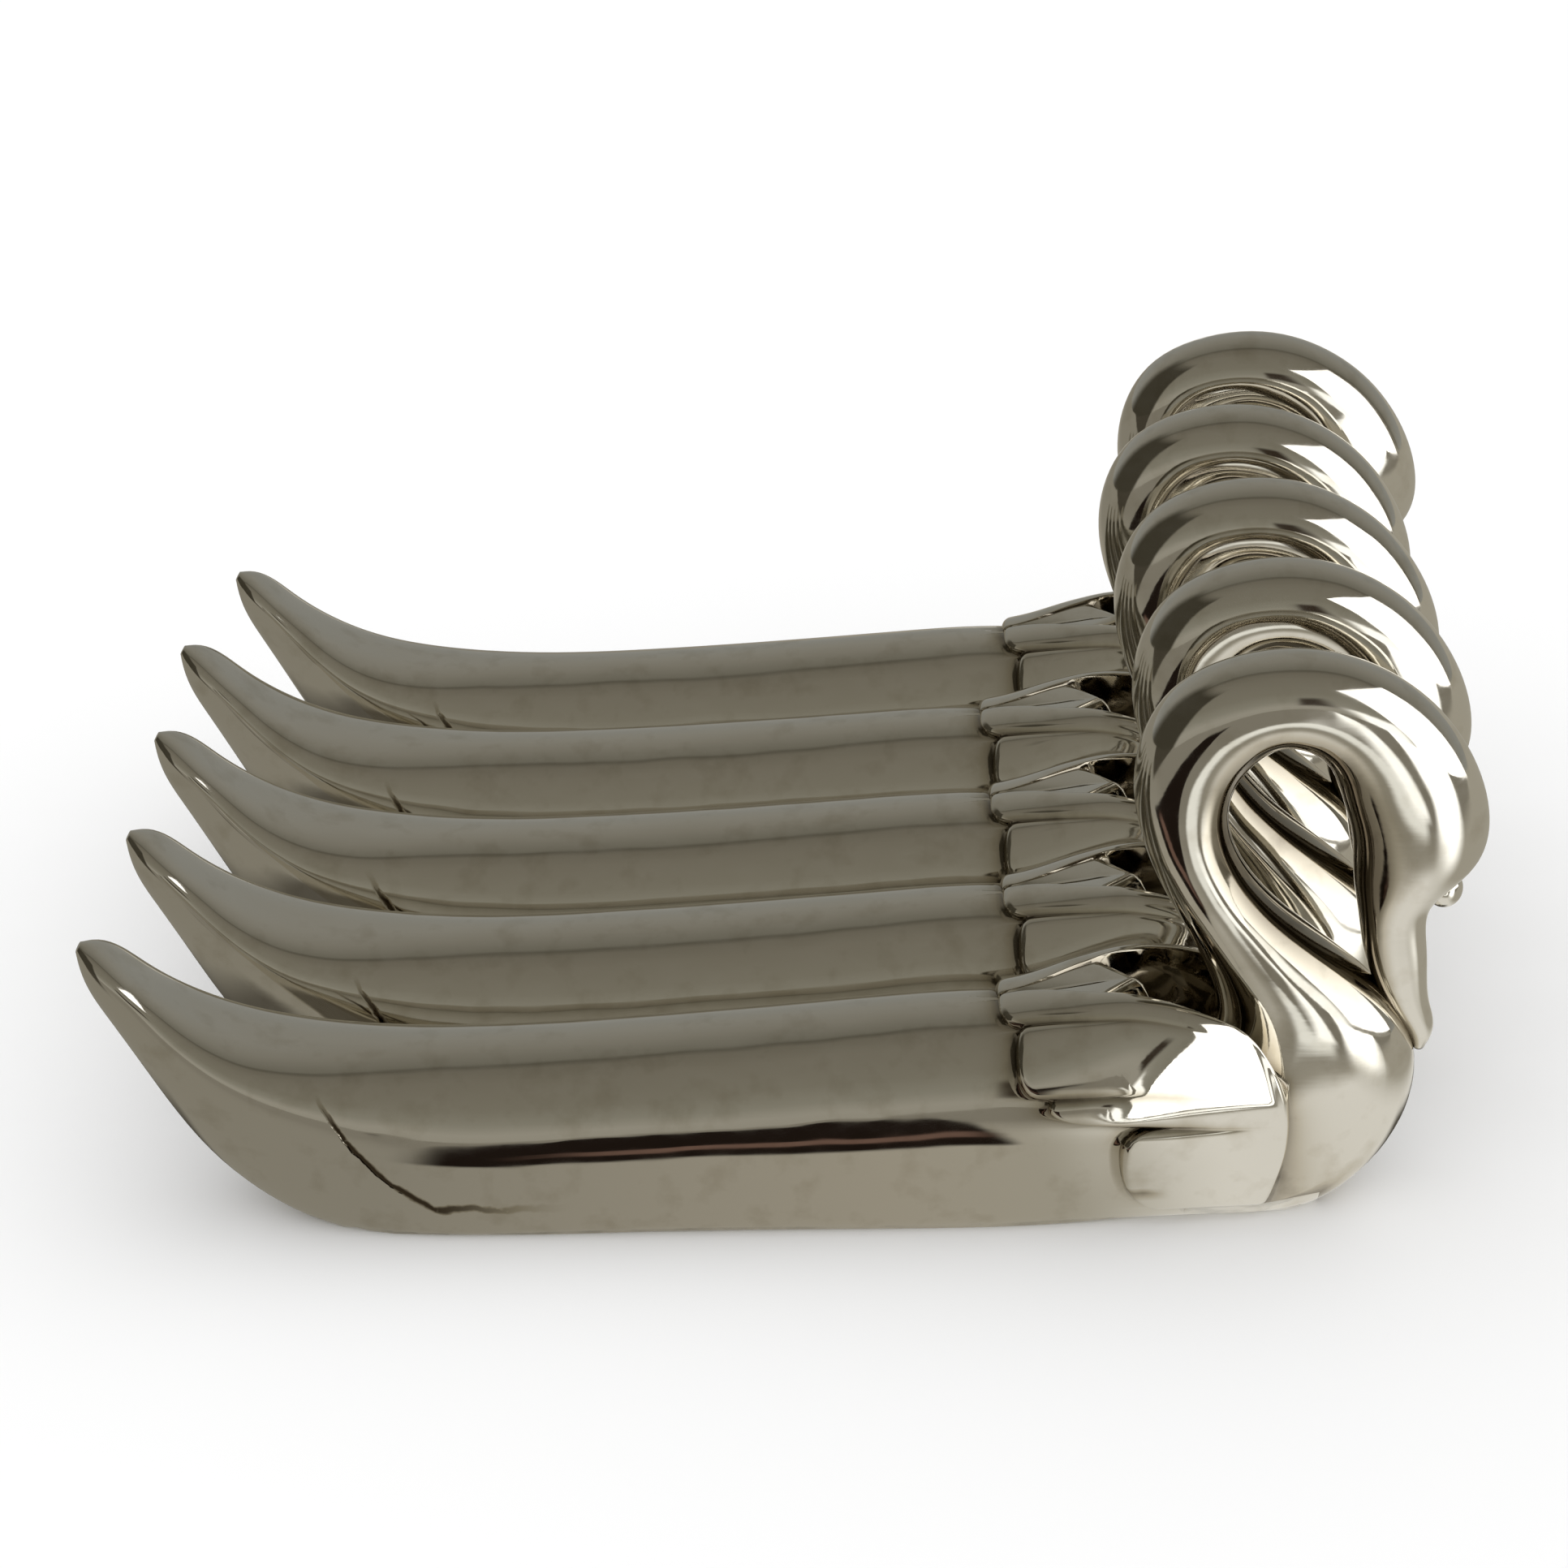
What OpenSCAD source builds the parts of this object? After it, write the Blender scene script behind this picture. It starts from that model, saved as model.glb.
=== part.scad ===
// Five knife rests, each a swan lying on the table, standing side by side as a set.
// Every rest is one solid casting: a boat-shaped hull that rises into the tail, a neck
// that arches over and lays the bill on the breast, and a pair of folded wings. A knife
// lies across the low back, between the tail and the wings.
// X runs from the tails to the heads, Y from the front rest to the back one and Z up.
// The origin is the middle of the footprint of the set, on the table.

/* [Hull] */
// Length of the hull, from the tip of the tail to the breast
hull_l = 88.5; // [80:0.5:100]
// Width of the hull ahead of the wings and behind them
hull_w = 12.6; // [10:0.1:13]
// Height of the back at its lowest, just ahead of the tail
back_h = 12.1; // [10:0.1:14]
// How much higher the back is where the wings begin
back_rise = 2.1; // [0.5:0.1:3]
// Height of the foremost point of the breast
breast_h = 10.3; // [8:0.1:11.5]
// Depth that is ground off the round underside, so that the rest stands flat
foot_cut = 1.3; // [0.8:0.1:2]

/* [Tail] */
// Length of the part of the hull that sweeps up into the tail
tail_l = 25; // [20:0.5:30]
// Height of the tip of the tail
tail_h = 19.8; // [16:0.1:24]

/* [Neck] */
// Height of the rest, from the table to the top of the arched neck
rest_h = 39.5; // [34:0.5:45]
// Length from the back of the neck to the forehead
neck_l = 23.2; // [20:0.1:26]
// How far the forehead reaches past the breast
head_reach = 3.5; // [2:0.1:5]
// Depth of the neck, seen from the side, at the top of its arch
neck_d = 6.4; // [5:0.1:7.5]
// Width of the neck, seen from the front
neck_w = 6.2; // [4.5:0.1:7]

/* [Head] */
// Depth of the head from nape to forehead
head_d = 9.1; // [7.5:0.1:10]
// Width of the head
head_w = 6.8; // [5:0.1:8]
// Depth of the bill at its root
bill_d = 4.1; // [3:0.1:5]
// Width of the bill at its root
bill_w = 4.4; // [3:0.1:5]
// Diameter of the knob at the root of the bill
knob_d = 2.7; // [2:0.1:3.5]

/* [Wings] */
// Width over the two wings
wing_span = 13.5; // [13:0.1:15]
// Length of a wing along its top, from the feather tips to the shoulder
wing_l = 16.5; // [13:0.1:20]
// Height of the shoulder, the highest point of a wing
wing_h = 16.5; // [15:0.1:18]
// Height at which a wing is widest
wing_belly_h = 8; // [6:0.1:9]
// Length over which the edges of a wing fall to the hull
wing_edge = 0.25; // [0.15:0.05:0.4]
// Clearance of the lower edge of a wing above the table
wing_lift = 0.8; // [0.2:0.1:1]

/* [Set] */
// Gap between the wings of two neighbours, when they stand quite straight
set_gap = 1; // [0.9:0.05:3]
// How far one rest stands out of line with the next, lengthways
stray_l = 1; // [0:0.1:1.5]
// How far one rest stands off its place, sideways
stray_w = 0.25; // [0:0.05:0.3]
// Angle by which the rests are turned, in degrees
stray_turn = 1; // [0:0.1:1.2]

/* [Hidden] */
NODES = ["front_swan", "second_swan", "middle_swan", "fourth_swan", "back_swan"];

// Steps along a wing and from a wing to the middle of the back, and sides of the knob
wing_n = 5;
crown_n = 4;
knob_n = 24;

// Lengths between the named points of the side view
hull_run = hull_l - tail_l;
neck_back_x = hull_l + head_reach - neck_l;
shoulder_h = back_h + back_rise;
neck_rise = rest_h - shoulder_h;
tail_lift = tail_h - back_h;
pitch = wing_span + set_gap;

// Where each rest stands, front one first: share of the stray length, of the stray
// width and of the turn
place_shares = [[-1, -1.6, 1.6], [0, 0, 0.7], [-0.2, 0, -0.4], [-0.3, -1, -1], [2.2, -1.3, 0]];

// The casting is one skin laid over sections, listed from the tail to the tip of the
// bill. A section is [upper point, lower point, half width, roundness of its upper side,
// roundness of its lower side, how much wider it is above than below]. A roundness of 2
// is an ellipse and more is boxier.

// The tail. Shares: of the tail's length, of its lift over the back, of its length, of
// its height from the ground side up, and of half the hull's width
tail_shares = [
    [0.018, 0.988, 0.004, 0.968, 0.075, 2.0, 2.0, 0.00],
    [0.048, 0.965, 0.012, 0.915, 0.215, 2.3, 2.0, 0.15],
    [0.176, 0.655, 0.072, 0.745, 0.430, 2.8, 1.9, 0.28],
    [0.304, 0.330, 0.155, 0.570, 0.575, 3.0, 1.9, 0.28],
    [0.504, 0.070, 0.318, 0.268, 0.775, 2.8, 2.1, 0.26],
    [0.780, 0.000, 0.600, 0.042, 0.929, 2.3, 2.8, 0.10]
];
// The hull. Shares: of the run from tail to breast, of the rise of the back, of the run,
// of the ground depth, and of half the hull's width
hull_shares = [
    [0.110, 0.150, 0.079, 1.00, 0.992, 2.1, 3.6],
    [0.425, 0.930, 0.425, 1.00, 1.000, 2.1, 3.6],
    [0.606, 1.100, 0.630, 1.00, 0.960, 2.1, 3.5],
    [0.717, 0.430, 0.772, 0.77, 0.873, 2.1, 3.2]
];
// The breast, whose sections fan round the hollow behind the neck. Shares: of the run
// and of the breast's height, for both points, and of half the hull's width
breast_shares = [
    [0.773, 1.194, 0.905, 0.00, 0.786, 2.1, 2.9],
    [0.787, 1.301, 0.985, 0.544, 0.754, 2.1, 2.4],
    [0.784, 1.447, 0.992, 1.107, 0.698, 2.1, 2.2],
    [0.767, 1.718, 0.920, 1.689, 0.587, 2.1, 2.1]
];
// The neck. Shares: of its length, and of its rise over the back, for the middle of the
// section, then of its depth and its width, with the lean of the section in degrees
neck_shares = [
    [0.263, 0.299, 1.020, 1.030, -93.5],
    [0.150, 0.497, 0.887, 0.985, -96.1],
    [0.143, 0.673, 1.047, 1.000, -79.8],
    [0.233, 0.816, 1.140, 1.030, -51.4],
    [0.430, 0.874, 0.998, 1.060, 0]
];
// The head, in the same way, by its own depth and width
head_shares = [
    [0.619, 0.812, 0.789, 0.985, 35.7],
    [0.744, 0.668, 0.951, 1.000, 56.3],
    [0.806, 0.512, 0.985, 0.995, 74.1],
    [0.800, 0.392, 0.880, 0.900, 81.0]
];
// The bill, in the same way, by its own depth and width, and with its roundness
bill_shares = [
    [0.752, 0.278, 1.180, 1.110, 76.8, 2.5, 2.4],
    [0.762, 0.150, 0.985, 0.975, 78.7, 2.8, 2.4],
    [0.810, -0.008, 0.668, 0.815, 79.5, 2.7, 2.3],
    [0.850, -0.097, 0.404, 0.570, 76.0, 2.3, 2.2],
    [0.850, -0.141, 0.200, 0.320, 82.0, 2.0, 2.0]
];
// Middle of the knob, as shares of the neck's length and rise
knob_shares = [0.886, 0.329];
// Roundness of the neck and of the head
neck_roundness = 2.1;

// Ribs of a wing. Shares: of the wing's length, of half the span and of the wing's
// height for its top edge, then of half the span where the rib is widest and at its foot
rib_shares = [
    [-0.05, 0.030, 0.885, 0.980, 0.90],
    [0.150, 0.040, 0.930, 0.995, 0.90],
    [0.400, 0.300, 0.965, 1.000, 0.89],
    [0.720, 0.570, 1.000, 1.000, 0.86],
    [0.960, 0.720, 0.952, 0.990, 0.80],
    [1.210, 0.800, 0.840, 0.940, 0.71]
];
// Feathers, top one first. Shares: of the way down the wing where the feather begins,
// has its tip and ends, then of the wing's length for the same three points
feather_shares = [
    [0.00, 0.060, 0.18, 0.050, 0.045, 0.150],
    [0.18, 0.310, 0.47, 0.150, 0.100, 0.215],
    [0.47, 0.505, 0.58, 0.235, 0.228, 0.700],
    [0.58, 0.700, 1.00, 0.700, 0.518, 0.800]
];
// Roundness of the ends of the feathers
feather_roundness = 2.4;
// Share of the way down the wing at which it is widest, and where its front edge
// reaches furthest, with the shares of the wing's length that the edge has there and
// that it falls back by at the top
belly_share = 0.6;
lead_shares = [0.62, 1.200, 0.200];
// Share of the wing's length that lies behind the back of the neck, and share of the
// top edge's distance from the middle at which the inner wall stands on the back
wing_set_share = 0.56;
wall_share = 0.93;
// How deep the valley between the wings is, from the tips to the shoulders, as shares of
// the way from their top edges down to the back
valley_shares = [0.35, 0.35, 0.35, 1, 1, 1];
// Angles of the skin in degrees: under the hull, at the foot of a wing, at the edge of
// the back, and at that edge on the first rings of the breast
under_angles = [-90, -70, -50];
foot_angle = -33;
plain_angle = 66;
breast_angles = [42, 50, 58];
// Where the back ends between the wings, as a share of a section, and the step from
// there to the rings next to the wings, and how far the flat underside runs on ahead of
// a wing, as a share of the wing's length
crown_share = 1.15;
crown_step = 0.2;
under_share = 0.23;
wing_x = neck_back_x - wing_l * wing_set_share;

function half(w) = w / 2;
function mix(a, b, t) = a + (b - a) * t;
function power(v, n) = sign(v) * pow(abs(v), 2 / n);

// The sections of the five stretches, worked out from their shares
function tail_section(s) = [
    [tail_l * s[0], back_h + tail_lift * s[1]],
    [tail_l * s[2], mix(-foot_cut, tail_h, s[3])],
    half(hull_w) * s[4], s[5], s[6], s[7]];
function hull_section(s) = [
    [tail_l + hull_run * s[0], back_h + back_rise * s[1]],
    [tail_l + hull_run * s[2], -foot_cut * s[3]],
    half(hull_w) * s[4], s[5], s[6], 0];
function breast_section(s) = [
    [tail_l + hull_run * s[0], breast_h * s[1]],
    [tail_l + hull_run * s[2], breast_h * s[3]],
    half(hull_w) * s[4], s[5], s[6], 0];
function neck_point(a, b) = [neck_back_x + neck_l * a, shoulder_h + neck_rise * b];
function leaning_section(s, depth, width, up, low) =
    let (middle = neck_point(s[0], s[1]), arm = half(depth * s[2]) * [sin(s[4]), cos(s[4])])
    [middle + arm, middle - arm, half(width * s[3]), up, low, 0];
sections = concat(
    [for (s = tail_shares) tail_section(s)],
    [for (s = hull_shares) hull_section(s)],
    [for (s = breast_shares) breast_section(s)],
    [for (s = neck_shares) leaning_section(s, neck_d, neck_w, neck_roundness, neck_roundness)],
    [for (s = head_shares) leaning_section(s, head_d, head_w, neck_roundness, neck_roundness)],
    [for (s = bill_shares) leaning_section(s, bill_d, bill_w, s[5], s[6])]);

// A smooth curve through the rows of a list, at a share t of the way from row i on
function smooth(rows, i, t) =
    let (last = len(rows) - 1, a = rows[max(i - 1, 0)], b = rows[i],
        c = rows[min(i + 1, last)], d = rows[min(i + 2, last)])
    (2 * b + (c - a) * t + (2 * a - 5 * b + 4 * c - d) * t * t
        + (3 * b - a - 3 * c + d) * t * t * t) / 2;

// A point of a section, at an angle from its widest place up
function skin_point(s, angle) =
    let (rise = power(sin(angle), angle < 0 ? s[4] : s[3]),
        out = power(cos(angle), angle < 0 ? s[4] : s[3]) * (1 + s[5] * rise),
        at = mix(s[1], s[0], half(1 + rise)))
    [at[0], s[2] * out, max(at[1], 0)];
function section_at(place) = smooth(sections, floor(place), place - floor(place));

// The place, in sections, where the skin at an angle reaches x
function place_at(x, angle, low, high, tries = 14) =
    let (middle = half(low + high))
    tries == 0 ? middle
        : skin_point(section_at(middle), angle)[0] < x ? place_at(x, angle, middle, high, tries - 1)
        : place_at(x, angle, low, middle, tries - 1);

// The rib of the wing at x, worked out between the two ribs next to it
function rib_at(x) =
    let (place = (x - wing_x) / wing_l,
        i = max([for (k = [0:len(rib_shares) - 2]) if (k == 0 || rib_shares[k][0] <= place) k]),
        t = (place - rib_shares[i][0]) / (rib_shares[i + 1][0] - rib_shares[i][0]))
    mix(rib_shares[i], rib_shares[i + 1], t);

// A point on the outside of the wing: a quarter ellipse from the top edge out to the
// widest point, then a curve in to the foot
function wing_point(x, down) =
    let (rib = rib_at(x),
        wide = half(wing_span) * rib[3],
        turn = 90 * min(down / belly_share, 1),
        fall = max((down - belly_share) / (1 - belly_share), 0))
    fall == 0
        ? [x, mix(half(wing_span) * rib[1], wide, sin(turn)), mix(wing_belly_h, wing_h * rib[2], cos(turn))]
        : [x, mix(wide, half(wing_span) * rib[4], fall * fall), mix(wing_belly_h, wing_lift, fall)];

// How far back the wing reaches at a share of the way down, by the round ends of its
// feathers, and how far forward
function round_end(away) = 1 - pow(max(1 - pow(away, feather_roundness), 0), 1 / feather_roundness);
function tip_x(down) = wing_x + wing_l * min([for (f = feather_shares)
    let (side = down < f[1] ? 0 : 2, away = (down - f[1]) / (f[side] - f[1]))
    if (away < 1.001) mix(f[4], f[side + 3], round_end(away))]);
function lead_x(down) = wing_x + wing_l
    * (lead_shares[1] - lead_shares[2] * pow(down / lead_shares[0] - 1, 2));

// How far forward the underside is still flat beside the last ring of a wing
breast_x = lead_x(1) + wing_l * under_share;

// Places down the side of a wing, from the foot up to the top edge
wing_downs = concat([1], [for (k = [len(feather_shares) - 1:-1:0])
    let (f = feather_shares[k]) each [half(f[1] + f[2]), f[1], f[0]]]);

// The angle on the skin that goes with a place down the side of a wing, when its top
// edge has the angle top
function side_angle(down, top) = down < belly_share
    ? top * (1 - down / belly_share)
    : foot_angle * (down - belly_share) / (1 - belly_share);

// Half a ring of the plain skin, from its lower point up
function plain_row(place, top) =
    let (s = section_at(place))
    concat(
        [for (angle = under_angles) skin_point(s, angle)],
        [for (down = wing_downs) skin_point(s, side_angle(down, top))],
        [for (k = [1:crown_n]) skin_point(s, mix(top, 90, k / crown_n))]);

// The section that the middle of the back has beside a share t of the wing, and the
// angle there of the foot of the wing's inner wall
function crown_place(t) = mix(place_at(tip_x(0), 90, hull_mid, hull_end + 1), hull_end + crown_share, t);
function crest_angle(t) =
    let (edge = wing_point(mix(tip_x(0), lead_x(0), t), 0))
    acos(min(edge[1] * wall_share / section_at(crown_place(t))[2], 1));

// A point of the back beside a wing, at a share of the way from the foot of the inner
// wall to the middle; side is -1 just behind the tips and 1 just ahead of the wing.
// Between the wings the valley lifts it off the back
function crown_point(t, share, side = 0) =
    let (x = mix(tip_x(0), lead_x(0), t) + wing_edge * side,
        top = crest_angle(t),
        foot = place_at(x, top, hull_mid, hull_end + 2),
        place = mix(foot, crown_place(t) + crown_step * side, share),
        at = skin_point(section_at(place), mix(top, 90, share)),
        valley = side == 0 ? valley_shares[round(t * wing_n)] : 1)
    [at[0], at[1], mix(wing_point(x, 0)[2], at[2], valley)];

// Half a ring through the wing at a share t of its length
function wing_row(t) = concat(
    [for (angle = under_angles) on_hull(mix(tip_x(1), breast_x, t), angle)],
    [for (down = wing_downs) wing_point(mix(tip_x(down), lead_x(down), t), down)],
    [for (k = [1:crown_n]) crown_point(t, (k - 1) / (crown_n - 1))]);

// Half a ring on the hull just clear of the tips, where t is 0, or of the leading edge,
// where t is 1
function edge_row(t) =
    let (side = 2 * t - 1, shift = wing_edge * side)
    concat(
        [for (angle = under_angles) on_hull(mix(tip_x(1), breast_x, t) + shift, angle)],
        [for (down = wing_downs)
            on_hull(mix(tip_x(down), lead_x(down), t) + shift, side_angle(down, crest_angle(t)))],
        [for (k = [1:crown_n]) crown_point(t, k / crown_n, side)]);
function on_hull(x, angle) =
    skin_point(section_at(place_at(x, angle, hull_mid, hull_end + 2)), angle);

// A whole ring out of its half
function whole(row) = concat(row, [for (i = [len(row) - 2:-1:1]) [row[i][0], -row[i][1], row[i][2]]]);

// Section numbers: the middle of the hull, its last section and the top of the neck
hull_mid = len(tail_shares) + 1;
hull_end = len(tail_shares) + len(hull_shares) - 1;
neck_end = hull_end + len(breast_shares) + len(neck_shares);
body_rings = [for (row = concat(
    [for (i = [0:2 * hull_mid - 2]) plain_row(i / 2, plain_angle)],
    [plain_row(hull_mid, plain_angle), edge_row(0)],
    [for (j = [0:wing_n]) wing_row(j / wing_n)],
    [edge_row(1)],
    [for (i = [0:len(breast_angles) - 1]) plain_row(hull_end + 2 + half(i - 1), breast_angles[i])],
    [for (i = [2 * hull_end + 3 + len(breast_angles):2 * neck_end]) plain_row(i / 2, plain_angle)]
)) whole(row)];
head_rings = [for (i = [2 * neck_end:2 * len(sections) - 2]) whole(plain_row(i / 2, plain_angle))];

// A closed skin over rings that have the same number of points
module skin(rings) {
    n = len(rings[0]);
    last = len(rings) - 1;
    sides = [for (r = [0:last - 1]) for (i = [0:n - 1])
        [r * n + i, (r + 1) * n + i, (r + 1) * n + (i + 1) % n, r * n + (i + 1) % n]];
    ends = [[for (i = [0:n - 1]) i], [for (i = [n - 1:-1:0]) last * n + i]];
    polyhedron([for (r = rings) each r], concat(sides, ends));
}

module body_and_neck() {
    skin(body_rings);
}
module head_and_bill() {
    skin(head_rings);
}

module knob() {
    at = neck_point(knob_shares[0], knob_shares[1]);
    translate([at[0], 0, at[1]])
        sphere(d = knob_d, $fn = knob_n);
}

module swan() {
    color("silver") {
        body_and_neck();
        head_and_bill();
        knob();
    }
}

// Where a casting stands, and where a point of it comes to when the casting is turned
// about its middle
function stand(k) = [stray_l * place_shares[k][0], pitch * k + stray_w * place_shares[k][1]];
function stood(k, p) =
    let (turn = stray_turn * place_shares[k][2], x = p[0] - half(hull_l), at = stand(k))
    [at[0] + x * cos(turn) - p[1] * sin(turn), at[1] + x * sin(turn) + p[1] * cos(turn)];

// The outermost points of all castings, and the middle between them
outline_points = [for (ring = concat(body_rings, head_rings)) each ring];
row_xs = [for (k = [0:len(NODES) - 1]) for (p = outline_points) stood(k, p)[0]];
row_ys = [for (k = [0:len(NODES) - 1]) for (p = outline_points) stood(k, p)[1]];
row_mid = [half(min(row_xs) + max(row_xs)), half(min(row_ys) + max(row_ys))];
module rest(k) {
    at = stand(k);
    translate([at[0] - row_mid[0], at[1] - row_mid[1], 0])
        rotate([0, 0, stray_turn * place_shares[k][2]])
            translate([-half(hull_l), 0, 0])
                swan();
}

module front_swan() {
    rest(0);
}
module second_swan() {
    rest(1);
}
module middle_swan() {
    rest(2);
}
module fourth_swan() {
    rest(3);
}
module back_swan() {
    rest(4);
}

front_swan();
second_swan();
middle_swan();
fourth_swan();
back_swan();
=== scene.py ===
"""A set of five silver-plated knife rests, each one a swan, in a row on a pale table."""

import math

import bpy
import numpy as np
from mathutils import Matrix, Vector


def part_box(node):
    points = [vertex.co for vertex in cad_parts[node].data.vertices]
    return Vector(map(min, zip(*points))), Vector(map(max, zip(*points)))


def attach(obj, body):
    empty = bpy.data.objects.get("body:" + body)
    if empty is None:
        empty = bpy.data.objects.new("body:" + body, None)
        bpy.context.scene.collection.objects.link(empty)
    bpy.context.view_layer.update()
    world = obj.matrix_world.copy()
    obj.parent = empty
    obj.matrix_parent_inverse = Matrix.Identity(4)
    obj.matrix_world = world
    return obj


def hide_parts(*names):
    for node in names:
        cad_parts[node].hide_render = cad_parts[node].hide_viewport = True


bl_info = {
    "name": "Swan knife rests",
    "version": (1, 0, 0),
    "blender": (4, 5, 0),
    "location": "View3D > Sidebar > Knife rests",
    "description": "Adds a row of swan knife rests, its materials, light and camera",
    "category": "Add Mesh",
}

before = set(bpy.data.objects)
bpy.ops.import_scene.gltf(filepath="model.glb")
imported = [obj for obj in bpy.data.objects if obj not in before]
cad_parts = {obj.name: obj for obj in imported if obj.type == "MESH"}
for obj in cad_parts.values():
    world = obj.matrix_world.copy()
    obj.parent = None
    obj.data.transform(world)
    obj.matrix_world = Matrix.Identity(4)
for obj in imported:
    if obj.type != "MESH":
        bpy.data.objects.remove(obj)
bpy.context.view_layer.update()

NODES = ("front_swan", "second_swan", "middle_swan", "fourth_swan", "back_swan")
BODIES = ("front_rest", "second_rest", "middle_rest", "fourth_rest", "back_rest")
# How far each rest is turned, as a share of the property group's turn
TURN_SHARES = (1.6, 0.7, -0.4, -1.0, 0.0)

# Sections of the casting from the tail to the tip of the bill, as in the part's source:
# shares of the lengths that the property group holds.
TAIL_SHARES = (
    (0.018, 0.988, 0.004, 0.968, 0.075, 2.0, 2.0, 0.00),
    (0.048, 0.965, 0.012, 0.915, 0.215, 2.3, 2.0, 0.15),
    (0.176, 0.655, 0.072, 0.745, 0.430, 2.8, 1.9, 0.28),
    (0.304, 0.330, 0.155, 0.570, 0.575, 3.0, 1.9, 0.28),
    (0.504, 0.070, 0.318, 0.268, 0.775, 2.8, 2.1, 0.26),
    (0.780, 0.000, 0.600, 0.042, 0.929, 2.3, 2.8, 0.10),
)
HULL_SHARES = (
    (0.110, 0.150, 0.079, 1.00, 0.992, 2.1, 3.6),
    (0.425, 0.930, 0.425, 1.00, 1.000, 2.1, 3.6),
    (0.606, 1.100, 0.630, 1.00, 0.960, 2.1, 3.5),
    (0.717, 0.430, 0.772, 0.77, 0.873, 2.1, 3.2),
)
BREAST_SHARES = (
    (0.773, 1.194, 0.905, 0.00, 0.786, 2.1, 2.9),
    (0.787, 1.301, 0.985, 0.544, 0.754, 2.1, 2.4),
    (0.784, 1.447, 0.992, 1.107, 0.698, 2.1, 2.2),
    (0.767, 1.718, 0.920, 1.689, 0.587, 2.1, 2.1),
)
NECK_SHARES = (
    (0.263, 0.299, 1.020, 1.030, -93.5),
    (0.150, 0.497, 0.887, 0.985, -96.1),
    (0.143, 0.673, 1.047, 1.000, -79.8),
    (0.233, 0.816, 1.140, 1.030, -51.4),
    (0.430, 0.874, 0.998, 1.060, 0.0),
)
HEAD_SHARES = (
    (0.619, 0.812, 0.789, 0.985, 35.7),
    (0.744, 0.668, 0.951, 1.000, 56.3),
    (0.806, 0.512, 0.985, 0.995, 74.1),
    (0.800, 0.392, 0.880, 0.900, 81.0),
)
BILL_SHARES = (
    (0.752, 0.278, 1.180, 1.110, 76.8, 2.5, 2.4),
    (0.762, 0.150, 0.985, 0.975, 78.7, 2.8, 2.4),
    (0.810, -0.008, 0.668, 0.815, 79.5, 2.7, 2.3),
    (0.850, -0.097, 0.404, 0.570, 76.0, 2.3, 2.2),
    (0.850, -0.141, 0.200, 0.320, 82.0, 2.0, 2.0),
)
# Ribs of a wing: place along it, the top edge's shares of half the span and of the wing's
# height, then the shares of half the span at the widest point and at the foot
RIB_SHARES = (
    (-0.05, 0.030, 0.885, 0.980, 0.90),
    (0.150, 0.040, 0.930, 0.995, 0.90),
    (0.400, 0.300, 0.980, 1.000, 0.89),
    (0.560, 0.440, 1.000, 1.000, 0.88),
    (0.720, 0.570, 0.986, 1.000, 0.86),
    (0.960, 0.720, 0.912, 0.990, 0.80),
    (1.210, 0.800, 0.790, 0.940, 0.71),
)
# Feathers, top one first: share of the way down where the feather begins, has its tip
# and ends, then how far along the wing it begins, has its tip and ends
FEATHER_SHARES = (
    (0.00, 0.060, 0.18, 0.050, 0.045, 0.150),
    (0.18, 0.310, 0.47, 0.150, 0.100, 0.215),
    (0.47, 0.505, 0.58, 0.235, 0.228, 0.700),
    (0.58, 0.700, 1.00, 0.700, 0.518, 0.800),
)
# Section numbers: the middle of the hull, its last section, the first of the neck and
# the last of the bill
HULL_MID = len(TAIL_SHARES) + 1
HULL_END = len(TAIL_SHARES) + len(HULL_SHARES) - 1
NECK_START = HULL_END + 3
BILL_END = HULL_END + len(BREAST_SHARES + NECK_SHARES + HEAD_SHARES + BILL_SHARES)

# Section numbers between which the wings stand, and where the pocket between them ends
WINGS_FROM, WINGS_TO, POCKET_END = float(HULL_MID), HULL_END + 1.9, HULL_END + 1.25

# Angles in degrees up from the widest place of a section: away from the wings, where the
# underside, the side and the inner wall end; under a wing, the first guess for the top of
# its side and the least angle of its foot
UNDER_END, SIDE_END, WALL_END, SIDE_GUESS, LEAST_ANGLE = -38, 66, 72, 80, -40
# How far the wings begin behind the neck's own place, as a share of their length
WING_BEHIND = 0.56
# Share of the way down a wing at which it is widest
WIDEST = 0.6
# The valley between the wings: its depth as a share of the way from their top edges down
# to the back, and the share of the way along where it starts to fall into the pocket
VALLEY_DEPTH, POCKET_START = 0.10, 0.42
# Columns of the underside, the inner wall and the back
UNDER_COLUMNS, WALL_COLUMNS, CROWN_COLUMNS = 8, 9, 13
# Grooves between the feathers: width as a share of the way down, then where along the wing
# they start to fade, over what share, and with what power; the arch of a feather as a
# share of the groove depth and its power
GROOVE_WIDTH, GROOVE_FADE = 0.018, (0.02, 0.85, 1.2)
ARCH_SHARE, ARCH_POWER = 0.45, 0.8
# Short nicks under the tip of the lowest feather: share of the way down, width, where
# each starts along the wing and over what share it dies out
NICKS = ((0.79, 0.014, 0.06, 0.16), (0.89, 0.016, 0.10, 0.20))
# The leaning side of the shoulder: along the wing where it starts, how much sooner that
# is for each share of the way down, the share down where this is zero and the blend;
# then, down the wing, where it ends, the slant of that end, and where it is measured from
LEAN_START, LEAN_SLANT, LEAN_LEVEL, LEAN_BLEND = 0.72, 0.945, 0.15, 0.24
LEAN_END, LEAN_END_SLANT, LEAN_END_LEVEL = 0.61, 0.16, 0.4
# The knob: shares of the neck's length and of the height over the back, and its stretch
KNOB_PLACE, KNOB_STRETCH = (0.886, 0.329), (0.92, 0.97, 1.0)

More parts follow.
